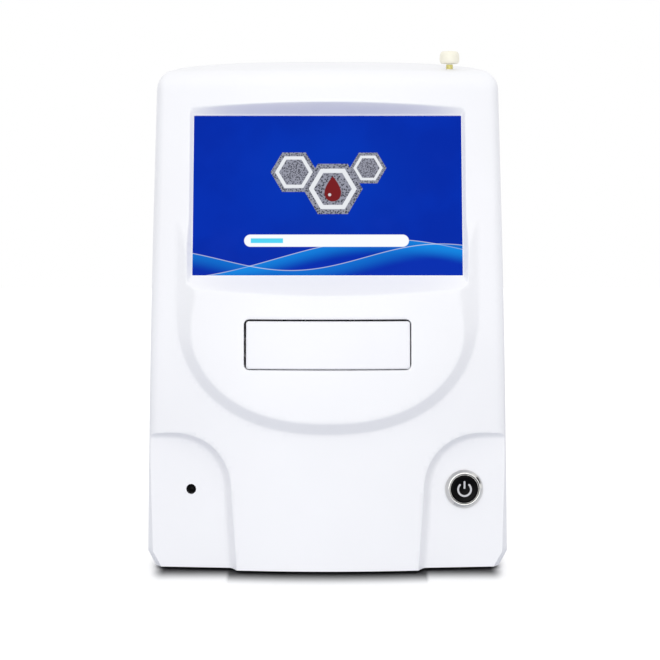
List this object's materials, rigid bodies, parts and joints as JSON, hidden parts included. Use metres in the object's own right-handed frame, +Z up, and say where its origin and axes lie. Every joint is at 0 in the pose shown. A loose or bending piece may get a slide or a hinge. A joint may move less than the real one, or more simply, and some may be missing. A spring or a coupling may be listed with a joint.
{
  "type": "hematology analyzer",
  "caption": "Desktop blood analyzer with a leaning touch screen in a recess, a motor drawer for a reagent disc, a ring push button at its foot and a printer lid in its crowned top.",
  "frame": {"origin": "on the table, under the middle of the casing's box", "axes": "-Y towards the user, +X to the user's right, +Z up"},
  "size_m": [0.207, 0.25, 0.2988],
  "materials": {
    "white_housing": "satin moulded",
    "screen_glass": "polished",
    "sheet_steel": "bright zinc",
    "polished_ring": "polished",
    "black_plastic": "matt",
    "black_cap": "satin",
    "motor_black": "satin",
    "ivory_knob": "satin",
    "yellow_stem": "satin",
    "white_acetal": "matt",
    "grey_plastic": "matt",
    "brass": "turned",
    "board_green": "solder mask",
    "rubber": "matt",
    "paper": "matt"
  },
  "bodies": {
    "casing": {"front_cover": "white_housing", "rear_cover": "white_housing", "base_plate": "sheet_steel", "foot_front_left": "rubber", "foot_front_right": "rubber", "foot_rear_left": "rubber", "foot_rear_right": "rubber", "touch_glass": "screen_glass", "display_panel": "black_plastic", "display_bracket": "sheet_steel", "display_board": "board_green", "drawer_rail_left": "white_acetal", "drawer_rail_right": "white_acetal", "drive_motor": "sheet_steel", "chassis": "sheet_steel", "guide_pin_left": "sheet_steel", "guide_pin_right": "sheet_steel", "lift_bridge": "sheet_steel", "lift_actuator": "motor_black", "optics_bracket": "black_plastic", "light_source": "brass", "photo_detector": "black_cap", "power_ring": "polished_ring", "power_nut": "sheet_steel", "power_switch": "black_plastic", "indicator_lens": "black_cap", "stylus_silo": "grey_plastic", "main_board": "board_green", "power_module": "black_plastic", "dc_jack": "black_plastic", "usb_port_left": "sheet_steel", "usb_port_right": "sheet_steel", "lan_port": "sheet_steel", "rear_panel": "sheet_steel", "fan_frame": "black_plastic", "lid_hinge_pin": "sheet_steel", "paper_tub": "grey_plastic", "print_head": "black_plastic"},
    "drawer": {"drawer_front": "white_housing", "drawer_tray": "white_acetal", "drawer_rack": "white_acetal"},
    "pinion": {"drive_pinion": "white_acetal"},
    "lift": {"lift_carriage": "grey_plastic", "lift_plunger": "sheet_steel", "spindle_motor": "motor_black"},
    "spindle": {"spindle_hub": "sheet_steel"},
    "button": {"power_cap": "black_cap"},
    "stylus": {"stylus_head": "ivory_knob", "stylus_shaft": "yellow_stem"},
    "lid": {"printer_lid": "white_housing"},
    "platen": {"platen_roller": "rubber"},
    "roll": {"paper_roll": "paper"},
    "fan": {"fan_rotor": "black_plastic"}
  },
  "joints": [
    {"name": "drawer_slide", "type": "slide", "parent": "casing", "child": "drawer", "axis": [0, -1, 0], "range_m": [0, 0.105]},
    {"name": "pinion_turn", "type": "hinge", "parent": "casing", "child": "pinion", "pos_m": [0.037, -0.091, 0.1092], "axis": [1, 0, 0], "range_deg": [0, 668.6]},
    {"name": "spindle_lift", "type": "slide", "parent": "casing", "child": "lift", "axis": [0, 0, -1], "range_m": [0, 0.008]},
    {"name": "spindle_turn", "type": "hinge", "parent": "lift", "child": "spindle", "pos_m": [0, -0.061, 0.124], "axis": [0, 0, 1], "continuous": true},
    {"name": "power_press", "type": "slide", "parent": "casing", "child": "button", "axis": [-0.1095, 0.9914, -0.0714], "range_m": [0, 0.0025], "stiffness_N_per_m": 900, "springref_m": -0.001},
    {"name": "stylus_pull", "type": "slide", "parent": "casing", "child": "stylus", "axis": [0, 0, 1], "range_m": [0, 0.09]},
    {"name": "lid_swing", "type": "hinge", "parent": "casing", "child": "lid", "pos_m": [0, 0.052, 0.29091], "axis": [-1, 0, 0], "range_deg": [0, 90]},
    {"name": "platen_turn", "type": "hinge", "parent": "lid", "child": "platen", "pos_m": [0, 0.0005, 0.2845], "axis": [1, 0, 0], "continuous": true},
    {"name": "paper_turn", "type": "hinge", "parent": "casing", "child": "roll", "pos_m": [0, 0.0304, 0.2531], "axis": [1, 0, 0], "continuous": true},
    {"name": "fan_turn", "type": "hinge", "parent": "casing", "child": "fan", "pos_m": [0, 0.116, 0.15], "axis": [0, 1, 0], "continuous": true}
  ],
  "couplings": [
    {"joint": "pinion_turn", "follows": "drawer_slide", "rad_per_m": 111.11}
  ]
}
